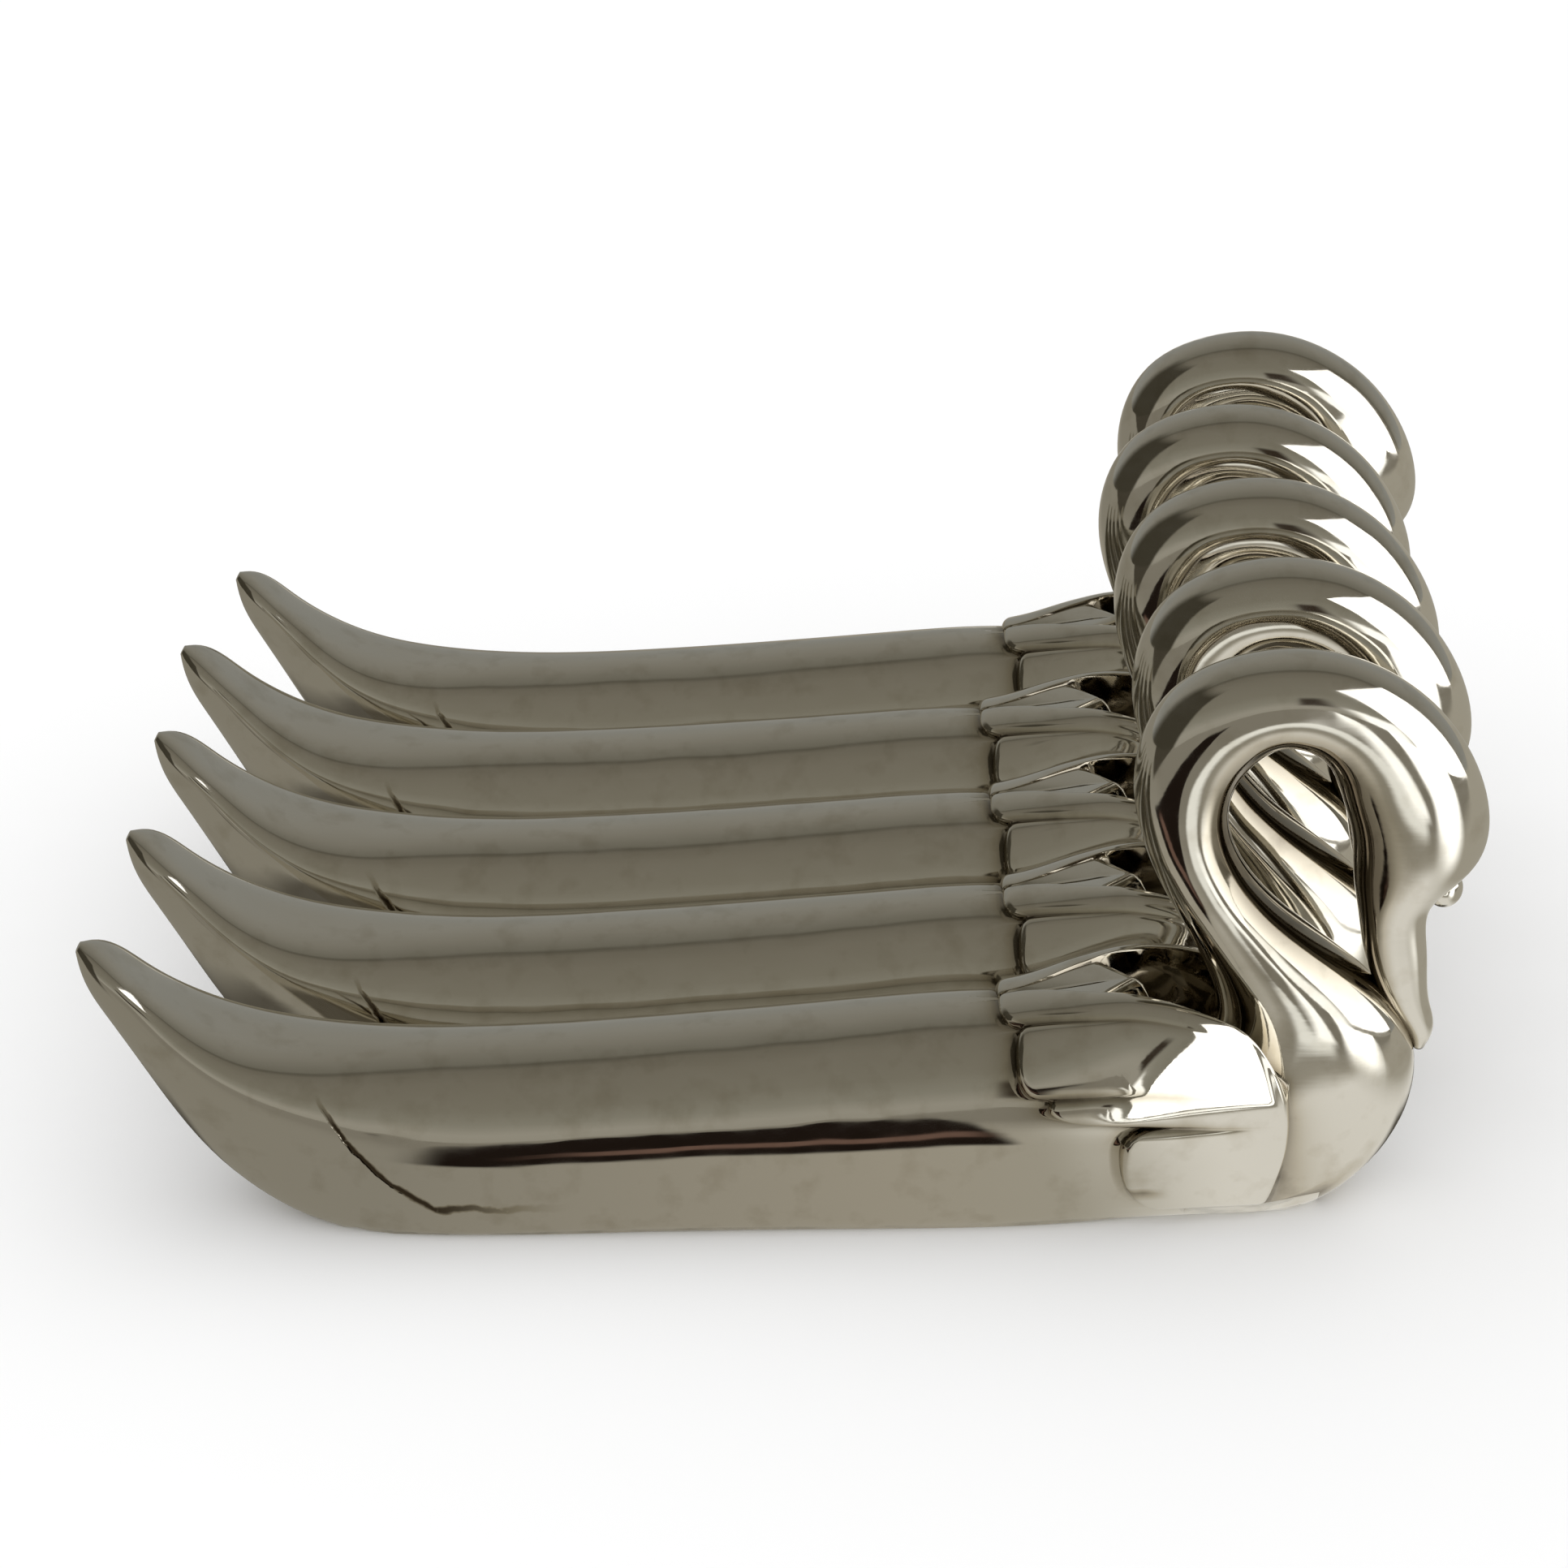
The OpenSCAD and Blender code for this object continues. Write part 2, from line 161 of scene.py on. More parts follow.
# The seam at the root of the tail: its height in metres is its lowest height plus a scale
# times a power of the way in millimetres to its foot, plus a ragged part
SEAM_FOOT, SEAM_POWER, SEAM_SCALE, SEAM_LOW, SEAM_RAGGED = 23.8, 1.65, 0.000255, 0.0020, 0.0014
# Where the leaning side of the shoulder looks (forward, outward, up), and how far its
# normal is turned that way
LEAN_AIM, LEAN_TURN = (0.46, 0.66, 0.59), 0.74

# Light all round, as everything but the metal gets it
WHITE_WORLD = (1.15, 1.15, 1.15)
# Light and dark areas of the room that the metal mirrors: name, limits and colour. A
# limit is an angle in degrees, where the area starts and where it is full
ROOM_AREAS = (
    ("dark room", (("compass", -46, -52), ("compass", -130, -100), ("height", 62, 48)),
     (0.045, 0.040, 0.028)),
    ("dark patch", (("compass", 8.5, 11), ("compass", 22, 16), ("height", 6, 10),
                    ("height", 27, 20)), (0.035, 0.026, 0.018)),
    ("light wall", (("compass", 20, 26), ("compass", 44, 38), ("height", 12, 8)),
     (1.3, 1.3, 1.25)),
)
# The same for the table top, with places in metres along x, y or a slanting axis, which
# is x plus a slope times y
SLOPES = {"right": 0.58, "wide": 1.73, "beyond": 0.3, "left": -1.19}
# On the table these are painted light and shade that only the metal sees: the sunlit areas are
# painted light, and the area between the rests is painted shade
TABLE_AREAS = (
    ("further away", (("y", -0.05, -0.09),), (0.21, 0.195, 0.16)),
    ("sunlit near", (("x", 0.017, 0.030), ("x", 0.062, 0.048), ("y", -0.066, -0.052)),
     (0.72, 0.705, 0.66)),
    ("sunlit far", (("right", 0.012, 0.022), ("wide", 0.0, -0.035), ("x", 0.050, 0.075)),
     (1.6, 1.6, 1.55)),
    ("sunlit middle", (("beyond", 0.004, 0.009), ("beyond", 0.032, 0.025),
                       ("y", -0.070, -0.080), ("y", -0.098, -0.088)), (0.85, 0.85, 0.80)),
    ("sunlit beyond", (("beyond", 0.014, 0.022), ("beyond", 0.036, 0.029),
                       ("y", -0.083, -0.095)), (1.3, 1.3, 1.25)),
    ("dark side", (("left", 0.005, -0.02), ("x", -0.050, -0.070), ("y", -0.045, -0.060)),
     (0.055, 0.048, 0.035)),
    ("dark strip", (("x", -0.0295, -0.0245), ("x", 0.0175, 0.0155), ("y", -0.320, -0.240),
                    ("y", -0.0475, -0.0495)), (0.012, 0.008, 0.006)),
    ("red edge", (("x", -0.022, -0.010), ("x", 0.018, 0.012), ("y", -0.062, -0.0595),
                  ("y", -0.0535, -0.0555)), (0.14, 0.085, 0.065)),
    ("between the rests", (("x", -0.052, -0.044), ("x", 0.050, 0.044),
                           ("y", -0.029, -0.025), ("y", 0.044, 0.036)),
     (0.09, 0.082, 0.066)),
)

# The window: the point it faces, compass and height angles from there in degrees,
# distance, size and radiance
WINDOW_AIM, WINDOW_ANGLES = (0.036, -0.031, 0.036), (68, 23)
WINDOW_DISTANCE, WINDOW_SIZE, WINDOW_RADIANCE = 0.26, (0.26, 0.245), 1.45
# The camera: place, tilt from straight down in degrees, focal length and width of the
# sensor in millimetres
CAMERA_PLACE, CAMERA_TILT = (-0.001365, -0.256806, 0.146626), 90 - 26.978
CAMERA_LENS, CAMERA_SENSOR = 91.605, 36
# Half the side of the table top in metres
TABLE_HALF = 6


class SwanProperties(bpy.types.PropertyGroup):
    """Sizes of one rest and of the row."""

    hull_l: bpy.props.FloatProperty(
        name="Hull length", description="From the tip of the tail to the breast",
        default=0.0885, unit="LENGTH")
    hull_w: bpy.props.FloatProperty(
        name="Hull width", description="Width of the hull outside the wings",
        default=0.0126, unit="LENGTH")
    back_h: bpy.props.FloatProperty(
        name="Back height", description="Height of the back at its lowest",
        default=0.0121, unit="LENGTH")
    back_rise: bpy.props.FloatProperty(
        name="Back rise", description="How much higher the back is at the wings",
        default=0.0021, unit="LENGTH")
    breast_h: bpy.props.FloatProperty(
        name="Breast height", description="Height of the foremost point of the breast",
        default=0.0103, unit="LENGTH")
    foot_cut: bpy.props.FloatProperty(
        name="Foot cut", description="Depth ground off the underside",
        default=0.0013, unit="LENGTH")
    tail_l: bpy.props.FloatProperty(
        name="Tail length", description="Part of the hull that sweeps up",
        default=0.025, unit="LENGTH")
    tail_h: bpy.props.FloatProperty(
        name="Tail height", description="Height of the tip of the tail",
        default=0.0198, unit="LENGTH")
    rest_h: bpy.props.FloatProperty(
        name="Height", description="From the table to the top of the neck",
        default=0.0395, unit="LENGTH")
    neck_l: bpy.props.FloatProperty(
        name="Neck length", description="From the back of the neck to the forehead",
        default=0.0232, unit="LENGTH")
    head_reach: bpy.props.FloatProperty(
        name="Head reach", description="How far the forehead passes the breast",
        default=0.0035, unit="LENGTH")
    neck_d: bpy.props.FloatProperty(
        name="Neck depth", description="Depth of the neck at the top of its arch",
        default=0.0064, unit="LENGTH")
    neck_w: bpy.props.FloatProperty(
        name="Neck width", description="Width of the neck from the front",
        default=0.0062, unit="LENGTH")
    head_d: bpy.props.FloatProperty(
        name="Head depth", description="From nape to forehead", default=0.0091,
        unit="LENGTH")
    head_w: bpy.props.FloatProperty(
        name="Head width", description="Width of the head", default=0.0068,
        unit="LENGTH")
    bill_d: bpy.props.FloatProperty(
        name="Bill depth", description="Depth of the bill at its root",
        default=0.0041, unit="LENGTH")
    bill_w: bpy.props.FloatProperty(
        name="Bill width", description="Width of the bill at its root",
        default=0.0044, unit="LENGTH")
    knob_d: bpy.props.FloatProperty(
        name="Knob", description="Diameter of the knob on the bill", default=0.0027,
        unit="LENGTH")
    wing_span: bpy.props.FloatProperty(
        name="Wing span", description="Width over the two wings", default=0.0135,
        unit="LENGTH")
    wing_l: bpy.props.FloatProperty(
        name="Wing length", description="From the feather tips to the shoulder",
        default=0.0165, unit="LENGTH")
    wing_h: bpy.props.FloatProperty(
        name="Wing height", description="Height of the shoulder", default=0.0165,
        unit="LENGTH")
    wing_belly_h: bpy.props.FloatProperty(
        name="Belly height", description="Height at which a wing is widest",
        default=0.008, unit="LENGTH")
    wing_lift: bpy.props.FloatProperty(
        name="Wing lift", description="Lower edge of a wing above the table",
        default=0.0008, unit="LENGTH")
    feather_round: bpy.props.FloatProperty(
        name="Feather edge", description="Radius that rounds the edge of a wing",
        default=0.0005, unit="LENGTH")
    groove_d: bpy.props.FloatProperty(
        name="Groove depth", description="Depth of the grooves between feathers",
        default=0.00028, unit="LENGTH")
    turn: bpy.props.FloatProperty(
        name="Turn", description="Angle by which the rests stand out of line",
        default=math.radians(1.0), unit="ROTATION", subtype="ANGLE")
    across: bpy.props.IntProperty(
        name="Columns", description="Columns of the grid down one feather", default=15,
        min=6, max=30)
    along: bpy.props.IntProperty(
        name="Rows", description="Rows of the grid from section to section",
        default=9, min=3, max=16)


def mix(a, b, t):
    """A straight blend: a plus t times the way from a to b."""
    return a + (b - a) * t


def ease(t):
    """A soft blend: three t squared less two t cubed, held between 0 and 1."""
    t = np.clip(t, 0, 1)
    return t * t * (3 - 2 * t)


def round_off(d):
    """A quarter circle: from 0 at the edge up to 1 where d reaches 1."""
    return np.sqrt(np.clip(1 - (1 - np.clip(d, 0, 1)) ** 2, 0, 1))


def section_rows(p):
    """Upper point, lower point, half width, roundness above and below, and skew of each
    section: every number is a share times one of the lengths."""
    run = p.hull_l - p.tail_l
    shoulder = p.back_h + p.back_rise
    rise = p.rest_h - shoulder
    neck_x = p.hull_l + p.head_reach - p.neck_l
    rows = []
    for a, b, c, d, w, up, low, skew in TAIL_SHARES:
        rows.append((p.tail_l * a, p.back_h + (p.tail_h - p.back_h) * b, p.tail_l * c,
                     mix(-p.foot_cut, p.tail_h, d), p.hull_w / 2 * w, up, low, skew))
    for a, b, c, d, w, up, low in HULL_SHARES:
        rows.append((p.tail_l + run * a, p.back_h + p.back_rise * b, p.tail_l + run * c,
                     -p.foot_cut * d, p.hull_w / 2 * w, up, low, 0))
    for a, b, c, d, w, up, low in BREAST_SHARES:
        rows.append((p.tail_l + run * a, p.breast_h * b, p.tail_l + run * c,
                     p.breast_h * d, p.hull_w / 2 * w, up, low, 0))
    for shares, depth, width in ((NECK_SHARES, p.neck_d, p.neck_w),
                                 (HEAD_SHARES, p.head_d, p.head_w),
                                 (BILL_SHARES, p.bill_d, p.bill_w)):
        for a, b, c, d, lean, *roundness in shares:
            up, low = roundness or (2.1, 2.1)
            x, z = neck_x + p.neck_l * a, shoulder + rise * b
            dx = depth * c / 2 * math.sin(math.radians(lean))
            dz = depth * c / 2 * math.cos(math.radians(lean))
            rows.append((x + dx, z + dz, x - dx, z - dz, width * d / 2, up, low, 0))
    return np.array(rows)


def spline(rows):
    """A function of the place along the casting that gives the section there: a cubic
    spline through the rows, with the length of the way between sections as its knots."""
    step = np.hypot(np.diff(rows[:, 0]), np.diff(rows[:, 1]))
    step = (step + np.hypot(np.diff(rows[:, 2]), np.diff(rows[:, 3]))) / 2
    knots = np.concatenate([[0], np.cumsum(step)])
    n, h = len(rows), step[:, None]
    system = np.zeros((n, n))
    right = np.zeros(rows.shape)
    inner = np.arange(1, n - 1)
    system[inner, inner - 1] = step[:-1]
    system[inner, inner] = 2 * (step[:-1] + step[1:])
    system[inner, inner + 1] = step[1:]
    slope = np.diff(rows, axis=0) / h
    right[1:-1] = 6 * np.diff(slope, axis=0)
    system[0, 0] = system[-1, -1] = 1
    bend = np.linalg.solve(system, right)

    def at(place):
        """The section at a place: both neighbours by their shares, and their bends."""
        place = np.asarray(place, float)
        i = np.clip(place.astype(int), 0, n - 2)
        t = (place - i)[..., None]
        gap = step[i][..., None]
        return ((1 - t) * rows[i] + t * rows[i + 1]
                + gap * gap / 6 * (((1 - t) ** 3 - (1 - t)) * bend[i]
                                   + (t ** 3 - t) * bend[i + 1]))
    return at


def skin(section, angle):
    """Point of a section at an angle from its widest place: a superellipse, which in its
    own quarter is the direction divided by its length in the power of the roundness."""
    ux, uz, lx, lz, w, up, low, skew = np.moveaxis(section, -1, 0)
    c, s = np.cos(angle), np.sin(angle)
    n = np.where(s >= 0, up, low)
    r = (np.abs(c) ** n + np.abs(s) ** n) ** (-1 / n)
    rise, out = r * s, r * c * (1 + skew * r * s)
    z = (uz + lz) / 2 + (uz - lz) / 2 * rise
    return np.stack([(ux + lx) / 2 + (ux - lx) / 2 * rise, w * out, z], -1)


def flatten(points):
    """The ground foot: what lies under the table is lifted to it."""
    points[..., 2] = np.maximum(points[..., 2], 0)
    return points


def place_at(at, x, angle, low, high):
    """Place where the skin at an angle reaches x, found by halving the way."""
    low, high = np.full(np.shape(x), low), np.full(np.shape(x), high)
    for _ in range(24):
        middle = (low + high) / 2
        short = skin(at(middle), angle)[..., 0] < x
        low, high = np.where(short, middle, low), np.where(short, high, middle)
    return (low + high) / 2


def wing_point(p, wing_x, x, down):
    """Outside of the wing: at each rib a quarter ellipse from the top edge out to the
    widest point, then a parabola in to the foot; between ribs the shares are blended."""
    ribs = np.array(RIB_SHARES)
    along = (x - wing_x) / p.wing_l
    edge_y, edge_z, wide, foot = (curve(along, ribs[:, 0], ribs[:, k]) for k in (1, 2, 3, 4))
    half = p.wing_span / 2
    turn = np.pi / 2 * np.clip(down / WIDEST, 0, 1)
    fall = np.clip((down - WIDEST) / (1 - WIDEST), 0, 1)
    y = np.where(fall == 0, mix(half * edge_y, half * wide, np.sin(turn)),
                 mix(half * wide, half * foot, fall * fall))
    z = np.where(fall == 0, mix(p.wing_belly_h, p.wing_h * edge_z, np.cos(turn)),
                 mix(p.wing_belly_h, p.wing_lift, fall))
    return np.stack([x, y, z], -1)


def curve(x, knots, values):
    """A smooth curve through a few values: each stretch eases its slope into the next,
    as in a cubic with the slopes of the chords over both neighbours."""
    slope = np.gradient(values, knots)
    i = np.clip(np.searchsorted(knots, x) - 1, 0, len(knots) - 2)
    h = knots[i + 1] - knots[i]
    t = np.clip((x - knots[i]) / h, 0, 1)
    a, b = values[i], values[i + 1]
    return (a * (1 + 2 * t) * (1 - t) ** 2 + slope[i] * h * t * (1 - t) ** 2
            + b * t * t * (3 - 2 * t) - slope[i + 1] * h * t * t * (1 - t))


def feather_x(down):
    """How far along the wing the feather tips stand: each half of a feather is a quarter
    of a superellipse from its tip to its side."""
    tip = np.full(np.shape(down), np.inf)
    for v0, vm, v1, x0, xm, x1 in FEATHER_SHARES:
        before = np.clip((vm - down) / (vm - v0), 0, None)
        after = np.clip((down - vm) / (v1 - vm), 0, None)
        away = np.maximum(before, after)
        side = np.where(down < vm, x0, x1)
        end = mix(xm, side, 1 - np.clip(1 - away ** 2.4, 0, 1) ** (1 / 2.4))
        tip = np.where((away <= 1 + 1e-9) & (end < tip), end, tip)
    return tip


def feather_form(down, t):
    """How dark each place of the wing's side is with tarnish, and how far it lies below
    the general surface, as a share of the groove depth: grooves shaped like a bell on the
    joins of the feathers, and between them a flat arch for each feather; both die out
    toward the shoulder, and the nicks, bells too, are short."""
    start, length, power = GROOVE_FADE
    fade = np.clip(1 - (t - start) / length, 0, 1) ** power
    deep, arch = np.zeros(len(down)), np.zeros(len(down))
    for v0, _, v1, *_ in FEATHER_SHARES:
        if v0 > 0:
            deep = np.maximum(deep, np.exp(-((down - v0) / GROOVE_WIDTH) ** 2))
        inside = (down >= v0) & (down <= v1)
        bulge = np.sin(np.pi * (down - v0) / (v1 - v0)) ** ARCH_POWER
        arch = np.where(inside, bulge, arch)
    nick = sum(np.exp(-((down - middle) / width) ** 2) * (1 - ease((t - start) / length))
               for middle, width, start, length in NICKS)
    return (np.maximum(fade * deep, 0.8 * nick),
            fade * (deep - ARCH_SHARE * arch) + 0.9 * nick)


def swan_grid(p):
    """The casting as one grid of points. Its rows run round the casting, in half: up from the
    middle of the underside over the side of the wing to the wing's top edge, down its inner
    wall and over to the middle of the back. Its columns run from the tail to the tip of the
    bill, and are bent so that they meet the feather tips. With the grid come two masks: how
    dark each point is, with tarnish in the feather grooves and painted shade round the wings,
    in the pocket and inside the neck's arch, and how far its normal leans."""
    at = spline(section_rows(p))
    wing_x = p.hull_l + p.head_reach - p.neck_l - WING_BEHIND * p.wing_l
    # places down the wing's side, closer to each other beside the grooves
    k = np.linspace(0, 1, p.across + 1)[1:]
    crowd = mix(k, (1 - np.cos(np.pi * k)) / 2, 0.7)
    downs = np.concatenate([[0]] + [mix(f[0], f[2], crowd) for f in FEATHER_SHARES])[::-1]
    under = np.linspace(-90, UNDER_END, UNDER_COLUMNS + 1)[:-1]
    walls = np.linspace(0, 1, WALL_COLUMNS + 1)[1:]
    crown = np.linspace(0, 1, CROWN_COLUMNS + 1)[1:]
    n_under, n_wall, n_crown = len(under), len(walls), len(crown)
    first_crown = n_under + len(downs) + n_wall
    tip = wing_x + p.wing_l * feather_x(downs)
    lead = wing_x + p.wing_l * (1.2 - 0.2 * (downs / 0.62 - 1) ** 2)

    # plain angles of the columns, away from the wing
    side = np.where(downs < WIDEST, SIDE_END * (1 - downs / WIDEST),
                    UNDER_END * (downs - WIDEST) / (1 - WIDEST))
    plain = np.radians(np.concatenate([under, side, mix(SIDE_END, WALL_END, walls),
                                       mix(WALL_END, 90, crown)]))

    def reach(x, angle):
        """Place between the ends of the wings where the hull's skin reaches x."""
        return place_at(at, x, angle, WINGS_FROM, WINGS_TO)

    def by_wing(t):
        """Angles and places of the hull under each column at a share t of the wing."""
        x = mix(tip, lead, t)
        w = wing_point(p, wing_x, x, downs)
        angle = np.where(downs < WIDEST, np.radians(SIDE_GUESS) * (1 - downs / WIDEST),
                         np.radians(side))
        for _ in range(4):
            s = at(reach(x, angle))
            middle, arm = (s[:, 1] + s[:, 3]) / 2, (s[:, 1] - s[:, 3]) / 2
            angle = np.arctan2((w[:, 2] - middle) / arm, w[:, 1] / s[:, 4])
            angle = np.maximum(angle, np.radians(LEAST_ANGLE))
        side_place = reach(x, angle)
        # the foot of the inner wall stands a little nearer the middle than the top edge
        edge = w[-1]
        foot = math.acos(min(edge[1] * 0.9 / s[-1, 4], 1.0))
        foot = min(foot, angle[-1] - math.radians(0.5))
        foot_place = reach(np.array(edge[0]), foot)
        top_place = mix(reach(np.array(tip[-1]), math.pi / 2), POCKET_END, t)
        under_x = mix(tip[0], lead[0] + 0.23 * p.wing_l, t)
        under_place = reach(np.full(n_under, under_x), np.radians(under))
        over = max(angle[-1], foot)
        angles = np.concatenate([np.radians(under), angle, mix(over, foot, walls),
                                 mix(foot, np.pi / 2, crown)])
        places = np.concatenate([under_place, side_place,
                                 mix(side_place[-1], foot_place, walls),
                                 mix(foot_place, top_place, crown)])
        return angles, places, w

    rows, masks = [], []

    def add(points, tarnish_and_shade=0.0, lean=0.0):
        """One more row with its two masks, each of them a number or one for each point."""
        nothing = np.zeros(len(points))
        rows.append(points)
        masks.append(np.stack([tarnish_and_shade + nothing, lean + nothing], -1))

    # tail and hull
    for s in np.linspace(0, 1, 2 * p.along) ** 1.3:
        add(skin(at(s), plain))
    for s in np.arange(1, HULL_MID - 1e-6, 1 / p.along)[1:]:
        add(skin(at(s), plain))
    # from the middle of the hull to the tips
    tip_angles, tip_places, _ = by_wing(0.0)
    steps = np.linspace(0, 1, 2 * p.along)
    # painted shade on the hull behind the feather tips, which grows toward them
    shade = np.concatenate([np.zeros(n_under), mix(0.9, 0.3, ease((downs - 0.55) / 0.2)),
                            np.full(n_wall, 0.9), np.full(n_crown, 0.5)])
    for t, s in zip(steps, ease(steps)):
        add(skin(at(mix(WINGS_FROM, tip_places, t)), mix(plain, tip_angles, s)),
            shade * t ** 12)
    # through the wing: the rows crowd at both ends, where the wing's edges are round
    edge = np.linspace(0, 1, 9)[1:] ** 2 * 0.06
    shares = np.concatenate([edge, np.linspace(0.06, 0.95, 40)[1:], 1 - edge[::-1] * 0.8])
    for t in np.unique(np.round(shares, 5)):
        angles, places, w = by_wing(float(t))
        base = skin(at(places), angles)
        top = w[-1]
        # the valley between the wings is nearly full behind and falls to the back
        # in front of the neck
        deep_valley = mix(VALLEY_DEPTH, 1.0, ease((t - POCKET_START) / 0.16))
        pocket = ease((t - POCKET_START) / 0.14)
        base[first_crown - 1:, 2] = mix(top[2], base[first_crown - 1:, 2],
                                        mix(1, deep_valley, ease(t / 0.05)))
        foot = base[first_crown - 1]
        # the inner wall leaves the top edge in a small round and falls to its foot
        wall = mix(top, foot, walls[:, None])
        wall[:, 2] = mix(top[2], foot[2], walls ** 1.25)
        raised = np.concatenate([base[:n_under], w, wall, base[first_crown:]])
        x = mix(tip, lead, t)
        near = round_off(np.minimum(x - tip, lead - x) / p.feather_round)
        foot_in = round_off((1 - downs) * 0.018 / (p.feather_round * 2))
        # the lowest feather lies closer to the hull
        near_hull = mix(1.0, 0.6, ease((downs - 0.68) / 0.25))
        weight = np.concatenate([np.zeros(n_under), near * foot_in * near_hull,
                                 np.full(n_wall, near[-1]), np.zeros(n_crown)])
        deep, form = feather_form(downs, t)
        inward = np.concatenate([np.zeros(n_under), form, np.zeros(n_wall + n_crown)])
        points = mix(base, raised, weight[:, None])
        # grooves and arches go along the way out from the wing's own axis
        out = raised - np.array([0, 0, 1]) * p.wing_belly_h * 0.8
        out[:, 0] = 0
        out /= np.linalg.norm(out, axis=1)[:, None] + 1e-9
        points -= out * (inward * weight * p.groove_d)[:, None]
        # how dark: tarnish in the grooves between the feathers, and painted shade on the round
        # edges of the feathers, on the inner wall and in the pocket between the wings
        mask = np.concatenate([np.zeros(n_under), np.maximum(deep, 1 - near),
                               walls ** 0.3 * (0.8 + 0.2 * pocket) * ease(t / 0.03),
                               (1 - crown) ** 0.5 * pocket])
        # the side of the shoulder leans to the front between two slanting lines
        along = (x - wing_x) / p.wing_l
        start = LEAN_START - LEAN_SLANT * (downs - LEAN_LEVEL)
        end = LEAN_END - LEAN_END_SLANT * (along - LEAN_END_LEVEL)
        lean = near * ease((along - start) / LEAN_BLEND) * ease((end - downs) / 0.05)
        lean *= ease((0.96 - t) / 0.05)
        add(points, mask, np.concatenate([np.zeros(n_under), lean,
                                          np.zeros(n_wall + n_crown)]))
    # the breast, where the columns go back to their plain angles and the painted shade in
    # front of the wing fades out
    lead_angles, lead_places, _ = by_wing(1.0)
    for t in steps:
        add(skin(at(mix(lead_places, NECK_START, t)), mix(lead_angles, plain, ease(t))),
            (1 - t) ** 6 * 0.8)
    # neck, head and bill: painted shade on the inner side of the arch
    arch_inner_shade = 0.9 * ease((-np.sin(plain) - 0.10) / 0.7)
    for s in np.arange(NECK_START, BILL_END + 1e-6, 1 / p.along)[1:]:
        add(skin(at(s), plain), arch_inner_shade * ease((s - NECK_START) / 2))
    return flatten(np.array(rows)), np.array(masks)


def closed_skin(grid, mask):
    """Points, quads, triangles and masks of the whole casting: the half rows are mirrored
    in the middle plane, each ring is closed, and both ends get a cap round one point."""
    mirrored = grid[:, -2:0:-1] * np.array([1, -1, 1])
    grid = np.concatenate([grid, mirrored], axis=1)
    mask = np.concatenate([mask, mask[:, -2:0:-1]], axis=1)
    n_rows, n = grid.shape[:2]
    index = np.arange(n_rows * n).reshape(n_rows, n)
    right = np.roll(index, -1, axis=1)
    quads = np.stack([index[:-1], right[:-1], right[1:], index[1:]], -1).reshape(-1, 4)
    ends = np.stack([grid[0].mean(0), grid[-1].mean(0)])
    a, b = n_rows * n, n_rows * n + 1
    first = np.stack([np.full(n, a), right[0], index[0]], -1)
    last = np.stack([np.full(n, b), index[-1], right[-1]], -1)
    points = np.concatenate([grid.reshape(-1, 3), ends])
    mask = np.concatenate([mask.reshape(-1, 2), np.zeros((2, 2))])
    return points, quads, np.concatenate([first, last]), mask


def knob_skin(p, n=24):
    """An ellipsoid at the root of the bill: a grid of latitudes and longitudes with one
    point at each pole."""
    rise = p.rest_h - p.back_h - p.back_rise
    centre = np.array([p.hull_l + p.head_reach - p.neck_l + KNOB_PLACE[0] * p.neck_l, 0,
                       p.back_h + p.back_rise + KNOB_PLACE[1] * rise])
    lat = np.linspace(-np.pi / 2, np.pi / 2, n)[1:-1, None]
    lon = np.arange(2 * n)[None] * np.pi / n
    ball = np.stack([np.cos(lat) * np.cos(lon), np.cos(lat) * np.sin(lon),
                     np.sin(lat) + 0 * lon], -1)
    ball = ball * np.array(KNOB_STRETCH) * p.knob_d / 2 + centre
    rows, m = ball.shape[:2]
    index = np.arange(rows * m).reshape(rows, m)
    right = np.roll(index, -1, axis=1)
    quads = np.stack([index[:-1], right[:-1], right[1:], index[1:]], -1).reshape(-1, 4)
    up = np.array([0, 0, p.knob_d / 2])
    points = np.concatenate([ball.reshape(-1, 3), [centre - up, centre + up]])
    low = np.stack([np.full(m, rows * m), right[0], index[0]], -1)
    high = np.stack([np.full(m, rows * m + 1), index[-1], right[-1]], -1)
    return points, quads, np.concatenate([low, high])


def mesh_of(name, points, quads, tris, mask, own):
    """A mesh with smooth faces out of points, quads and triangles, with the masks of tarnish
    and painted shade and of lean and the place in the casting's own frame as vertex
    attributes."""
    mesh = bpy.data.meshes.new(name)
    mesh.vertices.add(len(points))
    mesh.vertices.foreach_set("co", points.astype(np.float32).ravel())
    mesh.loops.add(quads.size + tris.size)
    mesh.loops.foreach_set("vertex_index",
                           np.concatenate([quads.ravel(), tris.ravel()]).astype(np.int32))
    starts = np.concatenate([np.arange(len(quads)) * 4,
                             quads.size + np.arange(len(tris)) * 3])
    mesh.polygons.add(len(starts))
    mesh.polygons.foreach_set("loop_start", starts.astype(np.int32))
    mesh.polygons.foreach_set("use_smooth", np.ones(len(starts), bool))
    for k, what in enumerate(("tarnish_and_shade", "lean")):
        layer = mesh.attributes.new(what, "FLOAT", "POINT")
        layer.data.foreach_set("value", mask[:, k].astype(np.float32))
    layer = mesh.attributes.new("own_place", "FLOAT_VECTOR", "POINT")
    layer.data.foreach_set("vector", own.astype(np.float32).ravel())
    mesh.update(calc_edges=True)
    mesh.validate()
    return mesh


def ramp(tree, name, stops):
    """A colour ramp from a list of places and colours."""
    node = tree.nodes.new("ShaderNodeValToRGB")
    node.name = node.label = name
    steps = node.color_ramp.elements
    for k, (place, colour) in enumerate(stops):
        step = steps[k] if k < 2 else steps.new(place)
        step.position, step.color = place, (*colour, 1)
    return node


